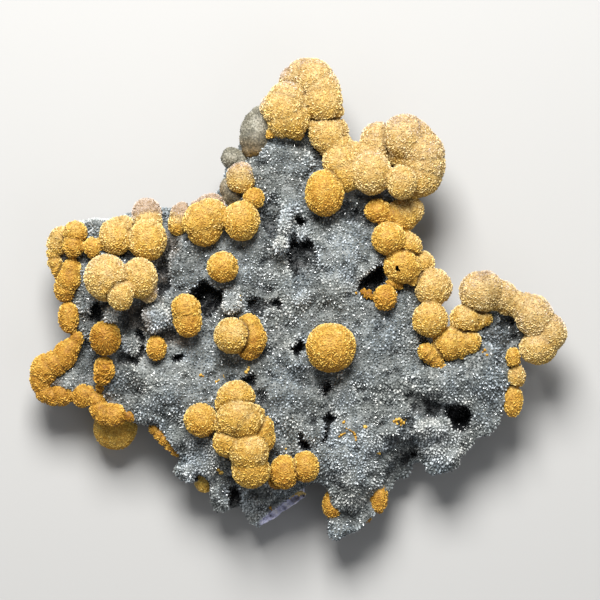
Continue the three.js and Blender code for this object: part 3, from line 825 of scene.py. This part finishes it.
# A blade's edge as it shows on a ball: a short crest that bends a little and tapers to its ends
blade = make_grain(
    "blade",
    [
        (-1.0, -0.2, -0.4),
        (1.0, -0.2, -0.4),
        (-0.5, 0.06, 0.55),
        (0.5, 0.06, 0.65),
        (-0.1, -0.4, -0.4),
        (0.1, 0.36, -0.4),
    ],
    [(0, 4, 2), (2, 4, 3), (3, 4, 1), (0, 2, 5), (2, 3, 5), (3, 1, 5)],
    [0, 0, 1, 1, 0, 0],
)


def finish_blades(tree, shader, body, foot, crease):
    """Colours a ball: its body colour, with painted shade at the blades' feet and the crease colour painted
    into the creases as shade.
    """
    low = mixed(tree, 1.0, body, foot, "MULTIPLY")
    colour = mixed(tree, attribute(tree, "crest"), low, body)
    colour = mixed(tree, attribute(tree, "crease"), colour, crease)
    tree.links.new(colour, shader.inputs["Base Color"])
    add_bump(tree, shader, cloud(tree, 0.28 * MM, 3), 0.1 * MM)


gyrolite, tree, shader = new_material("gyrolite_blades", 0.62, 1.54)
shader.inputs["Specular IOR Level"].default_value = 0.3
patchy = scaled(tree, calculated(tree, "SUBTRACT", cloud(tree, 1.6 * MM, 3), 0.5), 0.5)
tint = calculated(tree, "ADD", scaled(tree, attribute(tree, "paleness"), 0.84), patchy)
tint = calculated(tree, "ADD", tint, scaled(tree, attribute(tree, "shade"), 0.16))
body = ramp(
    tree,
    tint,
    [
        (0.0, (0.56, 0.30, 0.03)),
        (0.25, (0.80, 0.48, 0.075)),
        (0.46, (0.95, 0.68, 0.155)),
        (0.66, (0.95, 0.77, 0.34)),
        (0.84, (0.94, 0.80, 0.48)),
        (1.0, (0.70, 0.62, 0.57)),
    ],
)
wool = ramp(tree, cloud(tree, 0.42 * MM, 2), [(0.4, (0.70, 0.61, 0.46)), (0.56, (1.0, 1.0, 1.0))])
body = mixed(tree, 1.0, body, wool, "MULTIPLY")
# The last two colours are painted shade: at the blades' feet and in the creases.
finish_blades(tree, shader, body, (0.44, 0.33, 0.20), (0.055, 0.022, 0.005))

# These are in millimetres, except for the tilt, which is in radians
blade_reach = 0.2  # how far the blades stand out of a ball's skin
blade_spacing = 0.46
blade_tilt = 0.35
crease_start = 0.1  # the gap between two surfaces from which the crease between them gets shallower
crease_end = 0.75
crease_depth = 0.75
buried_from = 1.0  # how deep in the plate a ball's skin is cut away
plate_reach = 6  # how far the plate is looked for
settling_rounds = 4  # how often the skin's points are moved onto the merged balls


def ball_distances(places, balls):
    """How far each point is outside each ball's surface, and which way it faces there, ball by ball."""
    away = []
    ways = []
    for x, y, z, radius, stretch, _ in balls:
        offset = places - np.array([x, y, z]) * MM
        offset[:, 1] /= stretch
        far = np.linalg.norm(offset, axis=1)
        away.append(far - radius * MM)
        ways.append(offset / far[:, None])
    return np.array(away), np.array(ways)


def merged_distance(places, balls, merge):
    """The same for balls that run into one another over a width, as a single skin."""
    away, ways = ball_distances(places, balls)
    nearest = away.min(axis=0)
    weights = np.exp((nearest - away) / merge)
    total = weights.sum(axis=0)
    way = (ways * weights[:, :, None]).sum(axis=0) / total[:, None]
    return nearest - merge * np.log(total), way


def crease_between(away, start, end):
    """1 where the two nearest surfaces meet, and 0 where the second is farther off."""
    if len(away) < 2:
        return np.zeros(away.shape[1])
    two = np.sort(away, axis=0)[:2]
    return 1 - step(two[1] - two[0], start * MM, end * MM)


def grow_balls(
    name,
    *clusters,
    in_frame=True,
    merge=0.5,
    material=gyrolite,
    slot="golden_gyrolite",
    blades=(0.3, 0.5),
    voxel=0.4,
    swirl=500.0,
    bare=0.1,
    parted=1.0,
):
    """Balls bristling with blades: those of a cluster run into one another, and clusters meet in a crease.

    Each ball is (x, y, z, radius, stretch along Y, paleness), in millimetres. The blades have a
    smallest and a largest size, and a low swirl lines them up. The skin between them is as dark as
    its bare value says, and 1 is as light as their edges; this darkness is painted shade. The creases
    are as deep as their parted value says, and are painted dark as shade.
    """
    balls = [ball for cluster in clusters for ball in cluster]
    shape = bmesh.new()
    for x, y, z, radius, stretch, _ in balls:
        middle = Vector((x, y, z)) * MM
        made = bmesh.ops.create_icosphere(shape, subdivisions=4, radius=radius * MM)
        for v in made["verts"]:
            v.co = Vector((v.co.x, v.co.y * stretch, v.co.z)) + middle
    source = bpy.data.meshes.new(name)
    shape.to_mesh(source)
    shape.free()
    skin = fused(source, voxel * MM)
    places, _ = points_of(skin)
    every = np.arange(len(places))
    for _ in range(settling_rounds):
        apart = [merged_distance(places, cluster, merge * MM) for cluster in clusters]
        fars = np.array([far for far, _ in apart])
        ways = np.array([way for _, way in apart])
        nearest = fars.argmin(axis=0)
        places = places - (fars[nearest, every] + blade_reach * MM)[:, None] * ways[nearest, every]
    place_points(skin, places)
    places, normals = points_of(skin)
    away, _ = ball_distances(places, balls)
    crease = parted * crease_between(fars, crease_start, crease_end)
    crease = np.maximum(crease, 0.25 * crease_between(away, 0.0, 0.5))
    grain = 0.12 * lumpy(places / MM, 0.9, 6) + 0.25 * lumpy(places / MM, 3.4, 7)
    places = places + normals * (grain - crease_depth * crease)[:, None] * MM
    place_points(skin, places)
    skin.shade_smooth()
    share = np.exp((away.min(axis=0) - away) / (0.6 * MM))
    paleness = (np.array([ball[5] for ball in balls]) @ share) / share.sum(axis=0)
    # In patches, and paler on the +Y side, the top of the picture, which faces the key lamp: painted light
    paleness = paleness + 0.12 * lumpy(places / MM, 3.0, 8) + 0.16 * normals[:, 1] - 0.04
    buried = np.zeros(len(places), dtype=bool)
    for n, place in enumerate(places):
        near, up, _, gap = plate_tree.find_nearest(Vector(place), plate_reach * MM)
        buried[n] = near is not None and gap > buried_from * MM and (Vector(place) - near).dot(up) < 0
    set_attributes(
        skin,
        paleness=paleness,
        crease=crease,
        # The skin's crest sets how little painted shade it gets between the blades.
        crest=bare + 0.3 * step(0.12 * lumpy(places / MM, 0.9, 6), -0.05, 0.06),
        growth=(1 - crease) * ~buried * (0.2 + 0.8 * step(normals[:, 2], -0.5, 0.1)),
        coarse=np.ones(len(places)),
    )
    cut = bmesh.new()
    cut.from_mesh(skin)
    cut.verts.ensure_lookup_table()
    bmesh.ops.delete(cut, geom=[v for v in cut.verts if buried[v.index]], context="VERTS")
    cut.to_mesh(skin)
    cut.free()
    skin.materials.clear()
    skin.materials.append(material)
    mesh = scattered(
        name,
        skin,
        grain=blade,
        spacing=blade_spacing * MM,
        smallest=blades[0] * MM,
        largest=blades[1] * MM,
        tilt=blade_tilt,
        swirl=swirl,
        keep_mesh=True,
        seed=len(grown) + 1,
        material=material,
    )
    piece = add_object(f"{name}_bladed", mesh)
    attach(piece, "root")
    if in_frame:
        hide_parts(name)
    grown.extend(balls)


grow_balls(
    "crown_balls",
    [
        (3.8, 55.7, 18, 4.9, 1, 0.86), (6.0, 52.8, 18.6, 4.6, 1, 0.84), (6.3, 49.3, 19.9, 4.8, 1, 0.76),
        (8.2, 47.4, 19.2, 3.2, 1, 0.76), (-1.3, 54.9, 16.5, 3.6, 1, 1.0), (1.0, 56.9, 17.2, 3.5, 1, 0.96),
    ],
    [
        (-2.6, 50.0, 19.6, 4.8, 1, 0.84), (-3.4, 47.6, 20.5, 5.2, 1, 0.76),
        (-3.4, 44.9, 20.8, 4.2, 1, 0.7), (-1.6, 45.2, 20.8, 4.4, 1.05, 0.68),
        (-7.0, 41.4, 20, 1.2, 1, 0.5), (-0.2, 41.6, 20, 1.6, 1, 0.5), (-6.6, 48.4, 18, 2.9, 1, 1.1),
    ],
    [
        (7.3, 41.4, 19.4, 4.5, 1, 0.76), (9.7, 38.2, 19, 4.0, 1, 0.72), (10.6, 34.4, 20.6, 4.5, 1, 0.75),
        (13.6, 36.0, 18.0, 3.7, 1, 0.74), (11.6, 31.4, 21.4, 4.0, 1.15, 0.66),
        (18.4, 31.6, 22.8, 5.1, 1.08, 0.8), (20.4, 40.2, 17.8, 4.6, 1, 0.92),
        (9.2, 42.6, 19, 3.2, 1, 0.78), (4.9, 43.2, 18.6, 2.6, 1, 0.7), (18.6, 36.2, 18.4, 4.0, 1, 0.8),
    ],
    [
        (26.3, 40.9, 20.2, 5.4, 1.04, 0.92), (29.2, 40.8, 19.6, 4.3, 1, 0.92),
        (29.0, 28.6, 19, 3.2, 1, 0.78), (31.4, 37.0, 20.0, 5.2, 1, 0.92),
        (31.6, 33.8, 19.6, 5.2, 1, 0.88), (30.8, 31.0, 19.5, 5.1, 1, 0.78),
        (26.6, 36.6, 18.0, 4.2, 1, 0.7),
    ],
    [(25.8, 29.2, 24.4, 3.8, 1.15, 0.76)],
    [(6.6, 26.6, 23, 4.9, 1.22, 0.42)],
    merge=0.6,
    parted=0.75,
)

# Pale domes left of the crown
# Older balls whose skin has weathered to a greyish white crust.
weathered, tree, shader = new_material("weathered_gyrolite", 0.6, 1.54)
speckle = scaled(tree, cloud(tree, 0.45 * MM, 2), 0.65)
speckle = calculated(tree, "ADD", speckle, scaled(tree, cloud(tree, 3 * MM), 0.35))
crust = ramp(
    tree,
    speckle,
    [(0.38, (0.11, 0.11, 0.09)), (0.5, (0.235, 0.23, 0.18)), (0.63, (0.50, 0.49, 0.43))],
)
rusty = ramp(tree, attribute(tree, "paleness"), [(0.2, (0.62, 0.36, 0.07)), (0.6, (1.0, 1.0, 1.0))])
crust = mixed(tree, 1.0, crust, rusty, "MULTIPLY")
# The last two colours are painted shade: at the blades' feet and in the creases.
finish_blades(tree, shader, crust, (0.66, 0.62, 0.55), (0.07, 0.06, 0.04))
crusted = {"material": weathered, "slot": "pale_gyrolite", "blades": (0.16, 0.28)}
grow_balls(
    "pale_domes",
    [
        (-9.2, 46.0, 14.8, 2.5, 1, 0.9), (-9.8, 44.4, 15.2, 2.9, 1.05, 0.9),
        (-10.4, 42.4, 15.8, 3.1, 1.05, 0.8), (-10.8, 40.2, 16.2, 2.9, 1.05, 0.55),
        (-10.9, 38.4, 16.2, 2.4, 1, 0.4), (-10.4, 36.8, 16.2, 1.3, 1, 0.1),
        (-10.4, 41.4, 15.4, 2.9, 1, 0.5),
    ],
    merge=1.2,
    **crusted,
)
grow_balls(
    "small_pale_dome",
    [(-16.8, 35.8, 15, 2.8, 1, 0.9), (-14.2, 35.0, 14.4, 2.7, 1, 0.7)],
    **crusted,
)

# Shoulder balls
# A string of fused balls that runs down the right edge from the crown, with a spiky one over a vug.
grow_balls(
    "shoulder_balls",
    [
        (19.7, 22.3, 20, 3.1, 1, 0.34), (22.7, 20.9, 18.8, 2.5, 1, 0.44), (26.2, 21.2, 17.6, 4.1, 1, 0.6),
        (28.3, 22.4, 17.6, 3.3, 1, 0.72),
    ],
    [(22.5, 15.3, 21.2, 4.3, 0.95, 0.48), (27.5, 13.5, 18.5, 3.6, 1, 0.6)],
    [(26.0, 8.5, 20, 4.6, 0.97, 0.5), (31.3, 9.2, 16.9, 3.1, 1, 0.66), (29.3, 4.9, 19.5, 1.7, 1, 0.5)],
    [(33.8, 3.2, 18.5, 4.8, 1, 0.76)],
    [(33.0, -4.9, 20.2, 4.5, 1, 0.6)],
    merge=0.6,
)
grow_balls(
    "vug_ball",
    [(21.8, 0.6, 21.5, 2.9, 1.12, 0.3)],
    [(23.4, 4.0, 20, 1.5, 1, 0.3), (25.3, 3.6, 19.4, 1.1, 1, 0.4)],
    [(17.4, 1.4, 19, 1.1, 1, 0.02), (16.2, 1.9, 18.6, 0.8, 1, 0.02), (18.6, 0.7, 19.2, 0.8, 1, 0.05)],
    blades=(0.34, 0.62),
)

# Balls of the right arm
# A curved row of large pale balls along the arm that reaches out to the right, and the last small
# ones that hang on its outer edge.
grow_balls(
    "arm_balls",
    [
        (45.5, 2.0, 18.5, 5.1, 1.02, 0.9), (46.6, 2.5, 18.3, 4.8, 1, 0.9),
        (50.9, 1.1, 16.8, 4.0, 1, 0.86), (51.8, 0.0, 16.6, 3.4, 1, 0.84),
        (55.0, -1.0, 16.9, 3.0, 1, 0.86), (57.2, -2.1, 17.2, 3.7, 1, 0.88),
        (59.2, -4.0, 17.5, 4.8, 1.1, 0.92), (63.4, -8.2, 17.0, 4.1, 1.14, 0.9),
        (60.2, -12.1, 16.6, 4.8, 0.86, 0.78),
    ],
    [
        (42.0, -4.8, 17.8, 4.1, 0.95, 0.66), (43.5, -5.0, 17.6, 3.3, 0.95, 0.62),
        (47.0, -4.5, 17.4, 2.0, 1, 0.5),
    ],
    [
        (37.6, -10.9, 18.3, 3.9, 1.1, 0.54), (40.3, -10.9, 18.2, 3.5, 1, 0.54),
        (43.0, -10.4, 18.4, 3.0, 1, 0.56),
    ],
    [
        (32.0, -12.8, 19.4, 2.1, 1, 0.4), (33.4, -13.8, 19.3, 2.1, 1, 0.4),
        (34.6, -15.0, 19.2, 1.8, 1, 0.45), (35.9, -17.2, 19, 1.2, 1, 0.6),
    ],
    merge=0.6,
)
grow_balls(
    "arm_tail_balls",
    [(54.05, -14.6, 16.5, 2.0, 1.38, 0.46)],
    [(54.75, -19.1, 15.5, 2.5, 1.28, 0.78)],
    [(54.0, -25.2, 15, 2.5, 1.8, 0.44)],
    merge=0.4,
)

# Single and paired balls on the open face
# These grew apart from the others on the quartz points, and kept their round shape.
grow_balls("centre_ball", [(8.2, -11.8, 26.5, 6.2, 1, 0.46)])
grow_balls("middle_ball", [(-18.7, 8.2, 24, 3.9, 1, 0.46)])
grow_balls(
    "twin_balls",
    [(-28, -1.9, 22.5, 3.5, 1, 0.46), (-27.4, -5.9, 22.5, 3.3, 1.05, 0.4)],
    merge=1.0,
)
grow_balls(
    "paired_balls",
    [(-16.4, -8.9, 23.5, 4.6, 1, 0.66)],
    [
        (-11.4, -9.6, 22, 3.6, 1.2, 0.38), (-12.4, -6.6, 21.6, 3.1, 1, 0.38),
        (-12.2, -12.2, 21.4, 2.8, 1, 0.3),
    ],
)
grow_balls("small_left_ball", [(-35.4, -12.0, 21, 2.5, 1.32, 0.34)])
grow_balls("rust_ball", [(-48.2, -9.5, 20, 3.9, 1.1, 0.26)], blades=(0.36, 0.7), swirl=25.0)
grow_balls(
    "bumpy_ball",
    [
        (-48.5, -17.2, 18, 2.6, 1.15, 0.2), (-49.0, -19.4, 18, 1.9, 1, 0.16),
        (-49.8, -22.2, 16, 0.9, 1.2, 0.1),
    ],
    merge=0.4,
    blades=(0.45, 0.85),
)
grow_balls("lone_ball", [(-24.2, -29.9, 22.5, 4.2, 1.02, 0.5)])
grow_balls(
    "lower_pair",
    [(-3.3, -43.0, 20.5, 3.8, 1.14, 0.38)],
    [(1.8, -41.7, 20.5, 3.5, 1.16, 0.44)],
    [(-5.2, -45.4, 18.2, 2.2, 1, 0.1)],
)

# Saddle balls
# Two large balls side by side in the dip between the peak and the left ridge, with small ones behind,
# whose tops are crusted pinkish white.
grow_balls(
    "saddle_balls",
    [
        (-21.9, 20.9, 21.4, 4.5, 1, 0.6), (-23.8, 19.6, 21.8, 4.9, 1, 0.56),
        (-23.4, 18.0, 21.6, 4.5, 1, 0.5),
    ],
    [(-14.1, 19.8, 22.5, 4.6, 1.1, 0.56)],
    [(-11.0, 25.2, 21, 2.8, 1, 0.4)],
    [(-30.1, 19.0, 18, 2.5, 1.2, 0.5), (-28.8, 21.3, 17.2, 3.3, 1, 1.25)],
    [(-25.6, 22.2, 17, 2.6, 1, 1.2), (-21.9, 22.9, 17, 4.0, 1, 1.3)],
)
grow_balls("saddle_crest_ball", [(-14.4, 31.0, 19.5, 3.4, 1, 1.15), (-14.4, 30.2, 19.5, 3.5, 1, 0.56)])
grow_balls(
    "tan_lump",
    [
        (-17.3, 28.2, 15.5, 2.5, 1.25, 0.45), (-15.4, 26.4, 16.2, 2.8, 1, 0.55),
        (-17.0, 25.4, 15.6, 2.3, 1, 0.5),
    ],
    in_frame=False,
    **crusted,
)

# Left ridge and the three balls in front of it
# A wall of fused balls at the upper left edge, and in front a trio that stands proud of the face.
grow_balls(
    "left_ridge_balls",
    [
        (-37.6, 14.9, 21, 4.9, 1.1, 0.62), (-37.5, 19.4, 17.5, 3.4, 1, 0.62),
        (-38.0, 22.0, 16, 3.7, 1, 1.4),
    ],
    [(-45.6, 15.8, 19.5, 4.3, 1.12, 0.68), (-43.6, 18.0, 19, 2.9, 1, 0.72)],
    [(-51.4, 13.1, 19.5, 2.2, 1.25, 0.4)],
    [(-55.8, 17.1, 18, 2.8, 1, 0.5), (-56.3, 13.5, 18, 2.7, 1.15, 0.44)],
    [
        (-59.3, 15.8, 15, 2.9, 1, 0.72), (-60.3, 14.2, 14.9, 2.6, 1, 0.7),
        (-61.4, 11.6, 14.7, 1.5, 1.2, 0.66), (-61.2, 9.4, 14.6, 1.6, 1.1, 0.6),
        (-60.2, 7.6, 14.6, 1.7, 1.1, 0.55), (-59.4, 6.0, 14.6, 1.7, 1, 0.5),
    ],
    [
        (-56.8, 8.0, 16.5, 2.4, 1, 0.42), (-57.6, 5.4, 16.5, 2.9, 1, 0.4),
        (-58.6, 2.9, 15.6, 2.5, 1, 0.42), (-58.5, 1.6, 15.4, 2.1, 1, 0.3),
    ],
    merge=0.7,
)
grow_balls(
    "front_trio",
    [(-47.6, 5.5, 25.9, 5.55, 1.06, 0.76)],
    [(-39.5, 5.5, 24.8, 4.6, 1.12, 0.72), (-37.3, 1.9, 22.8, 2.3, 1.2, 1.1)],
    [(-43.9, 0.9, 29, 3.3, 1.08, 0.7)],
)

# Hook of balls at the lower left
# A thin curved row of small ochre balls along the lowest left edge, and one half under the plate.
grow_balls(
    "hook_balls",
    [(-57.7, -4.3, 15, 2.8, 1.5, 0.36)],
    [
        (-55.6, -9.6, 14.5, 1.8, 1, 0.28), (-56.9, -11.7, 14.3, 2.1, 1, 0.26),
        (-58.7, -13.9, 14, 3.0, 1.18, 0.26), (-61.2, -16.0, 13.5, 3.2, 1, 0.31),
        (-63.8, -17.4, 13, 3.5, 1.1, 0.34), (-65.0, -20.2, 12.8, 2.5, 1.3, 0.3),
        (-63.9, -23.6, 12.6, 2.2, 1, 0.26), (-61.8, -24.4, 12.6, 2.1, 1, 0.26),
        (-59.3, -23.7, 12.8, 2.7, 1.12, 0.26),
    ],
    [
        (-54.3, -24.1, 13.4, 2.7, 1.1, 0.28), (-52.7, -23.4, 14, 1.9, 1, 0.28),
        (-50.6, -25.0, 14.6, 1.9, 1.2, 0.27), (-49.8, -27.8, 15, 2.3, 1, 0.28),
        (-48.4, -28.9, 15.6, 2.5, 1, 0.27), (-46.1, -28.9, 16, 3.0, 1, 0.29),
        (-42.2, -29.1, 15.6, 1.5, 1, 0.1),
    ],
    merge=0.6,
)
grow_balls("under_ball", [(-46.4, -32.4, 7, 5.6, 1, 0.5)], bare=0.6)

# Column and lower edge
# A tall stack of fused golden balls on the lower face, and small ochre ones along the broken edge.
grow_balls(
    "column_balls",
    [(-15.4, -24.6, 22.8, 4.7, 1, 0.58), (-17.4, -26.3, 22.4, 3.2, 1, 0.54)],
    [
        (-17.4, -31.0, 24, 3.4, 1, 0.6), (-15.1, -29.2, 25, 5.1, 0.95, 0.64),
        (-13.6, -30.2, 24.8, 4.9, 0.95, 0.62), (-11.2, -29.3, 23.0, 3.2, 1, 0.58),
    ],
    [(-9.4, -32.0, 22.8, 3.4, 1.1, 0.52), (-8.6, -34.8, 22.4, 3.0, 1.1, 0.48)],
    [(-17.3, -35.4, 23.9, 3.9, 1, 0.58), (-15.4, -34.0, 23.6, 3.2, 1, 0.58)],
    [(-12.2, -37.8, 25.3, 5.0, 0.92, 0.64), (-11.7, -42.4, 23.8, 4.8, 0.92, 0.56)],
    merge=0.6,
    parted=0.4,
)
grow_balls(
    "edge_roll",
    [
        (-36.2, -32.4, 13.5, 1.6, 1, 0.32), (-34.8, -33.7, 13.5, 1.7, 1, 0.3),
        (-33.4, -35.0, 13.5, 1.8, 1, 0.3), (-31.9, -36.5, 13.5, 1.7, 1, 0.3),
        (-30.6, -37.9, 13.5, 1.5, 1, 0.3),
    ],
)
grow_balls("tip_left_ball", [(8.6, -51.6, 12.5, 2.6, 1.45, 0.28)])
grow_balls("tip_right_ball", [(20.3, -50, 12.2, 2.4, 1.65, 0.28)], [(17.5, -55, 11.5, 1.4, 1, 0.3)])
grow_balls("sheltered_ball", [(-23.7, -45.8, 10.4, 2.5, 1.15, 0.6)], bare=0.6)

# Specks of gyrolite
# Scattered crumbs and a broken ring where small balls had begun to grow, or had come off: each one's
# place in the photograph's pixels, radius in millimetres and paleness.
specks = [
    (394, 421, 0.57, 0.3), (396, 420, 0.62, 0.4), (399, 419, 0.62, 0.4), (401, 421, 0.62, 0.3),
    (404, 423, 0.52, 0.4), (397, 424, 0.42, 0.5), (339.5, 436, 0.47, 0.2), (341, 434.5, 0.52, 0.2),
    (343, 433.5, 0.47, 0.3), (344.5, 433, 0.42, 0.3), (346.5, 428, 0.42, 0.2), (348, 428.5, 0.47, 0.3),
    (350, 430, 0.47, 0.2), (352, 431, 0.47, 0.2), (353.5, 432, 0.52, 0.1), (354.5, 434, 0.52, 0.1),
    (355.5, 436.5, 0.47, 0.2), (355.5, 439, 0.42, 0.3), (401, 425.5, 0.47, 0.4), (406, 420, 0.42, 0.5),
    (343.5, 422, 0.42, 0.1), (365, 426.5, 0.52, 0.4), (216, 382, 0.57, 0.2), (219, 380, 0.52, 0.5),
    (223, 375, 0.47, 0.6), (224.5, 378, 0.42, 0.6), (201, 375, 0.62, 0.3), (203, 376, 0.47, 0.3),
    (485, 350, 0.67, 0.1), (487, 355, 0.57, 0.2), (483, 352, 0.47, 0.1), (462, 358, 0.52, 0.5),
    (379, 453, 0.52, 0.5), (356, 293, 0.52, 0.1), (218, 470, 0.52, 0.5), (221, 473, 0.57, 0.5),
    (286, 449, 0.47, 0.5), (246, 372, 0.52, 0.5), (248, 370, 0.47, 0.5), (249, 367, 0.42, 0.6),
    (240, 296, 0.47, 0.4), (241, 300, 0.42, 0.5), (290, 500, 0.47, 0.6), (293, 498, 0.52, 0.7),
    (295.5, 496, 0.62, 0.8), (298, 494, 0.62, 0.95), (300.5, 493, 0.62, 1), (303, 494, 0.62, 1),
    (305, 496, 0.52, 1), (299, 497, 0.52, 0.9), (302, 496, 0.52, 0.8), (270, 510, 0.57, 0.1),
    (271, 512, 0.47, 0.1),
]
crumbs = []
for x, y, radius, paleness in specks:
    place = on_plate(x, y)
    hit = plate_tree.ray_cast(Vector((*place, overhead)) * MM, Vector((0, 0, -1)))[0]
    crumbs.append((*place, hit.z / MM + 0.4 * radius, radius, 1, paleness))
grow_balls("gyrolite_specks", crumbs, in_frame=False, merge=0.06, voxel=0.16, blades=(0.18, 0.36), bare=0.7)

# Quartz points
# A crust of tiny clear to grey quartz crystals that covers the whole face, leaning every way, so
# that here and there a facet catches the light. Slim points stand among a sugar of smaller ones.
six = [(math.cos(n * math.pi / 3), math.sin(n * math.pi / 3)) for n in range(6)]
prism = make_grain(
    "quartz_prism",
    [(0.42 * x, 0.42 * y, -0.5) for x, y in six]
    + [(0.42 * x, 0.42 * y, 0.55 + 0.08 * (n % 3)) for n, (x, y) in enumerate(six)]
    + [(0.05, -0.03, 1.15)],
    [(n, (n + 1) % 6, (n + 1) % 6 + 6, n + 6) for n in range(6)]
    + [(n + 6, (n + 1) % 6 + 6, 12) for n in range(6)],
    [0] * 6 + [0.75] * 6 + [1],
)
sugar = make_grain(
    "quartz_sugar",
    [(0.55 * x, 0.55 * y, -0.25) for x, y in six[::2]] + [(0.05, 0.06, 0.55)],
    [(n, (n + 1) % 3, 3) for n in range(3)],
    [0.15] * 3 + [1],
)

quartz, tree, shader = new_material("quartz_points", 0.1, 1.544)
shader.inputs["Transmission Weight"].default_value = 0.25
# Random grey tones, paler where pale; the near-white top stop is partly milky crystals and partly painted
# glints.
clear = ramp(
    tree,
    calculated(
        tree,
        "ADD",
        scaled(tree, attribute(tree, "shade"), 0.75),
        scaled(tree, attribute(tree, "pale"), 0.55),
    ),
    [
        (0.0, (0.15, 0.16, 0.16)),
        (0.3, (0.355, 0.378, 0.38)),
        (0.59, (0.62, 0.65, 0.655)),
        (0.65, (0.99, 1.0, 1.0)),
    ],
)
hue = ramp(
    tree,
    cloud(tree, 9 * MM, 3),
    [(0.38, (0.85, 0.93, 1.0)), (0.5, (0.94, 0.985, 1.0)), (0.62, (0.99, 1.0, 0.96))],
)
colour = mixed(tree, 1.0, clear, hue, "MULTIPLY")
# Brown tint of stains, and painted shade right of the front trio.
browned = mixed(tree, 1.0, colour, (0.56, 0.46, 0.38), "MULTIPLY")
colour = mixed(tree, attribute(tree, "stain_and_shade"), colour, browned)
# Painted shade at the crystals' feet, darkest where their crest is lowest.
foot = calculated(tree, "SUBTRACT", 0.6, scaled(tree, attribute(tree, "crest"), 0.6))
colour = mixed(tree, foot, colour, (0.05, 0.057, 0.055))
# Painted shade in enclosed hollows and in the hollow shade outlines.
colour = painted_hollow_shade(tree, colour, (0.022, 0.024, 0.026), 0.32, 1.6)
tree.links.new(colour, shader.inputs["Base Color"])

# The quartz grows on the druzy side, where no ball covers it
away, _ = ball_distances(plate_places, grown)
ball_gap = 0.15 * MM
free = away.min(axis=0) > ball_gap
coarse = 1.0 + 0.35 * lumpy(plate_places / MM, 5.0, 9)
first_seed = 40
quartz_swirl = 3000.0
# Each belt's ends along X in metres, and each layer's grain, spacing and sizes in millimetres, and tilt
belts = [("left", -0.1, -0.018), ("middle", -0.018, 0.012), ("right", 0.012, 0.1)]
layers = [("points", prism, 0.64, 0.36, 0.68, 0.7), ("sugar", sugar, 0.35, 0.34, 0.6, 0.9)]
for layer, grain, spacing, smallest, largest, tilt in layers:
    for n, (side, start, end) in enumerate(belts):
        ground = plate_mesh.copy()
        here = (plate_places[:, 0] >= start) & (plate_places[:, 0] < end)
        set_attributes(ground, growth=druzy * free * here, coarse=coarse)
        name = f"quartz_{layer}_{side}"
        mesh = scattered(
            name,
            ground,
            grain=grain,
            spacing=spacing * MM,
            smallest=smallest * MM,
            largest=largest * MM,
            tilt=tilt,
            swirl=quartz_swirl,
            keep_mesh=False,
            seed=first_seed + n,
            material=quartz,
        )
        corners = len(grain.data.vertices)
        middles = points_of(mesh)[0].reshape(-1, corners, 3).mean(axis=1) / MM
        mark_looks(mesh, middles, corners)
        piece = add_object(name, mesh)
        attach(piece, "root")

for grain in (blade, prism, sugar):
    drop(grain)
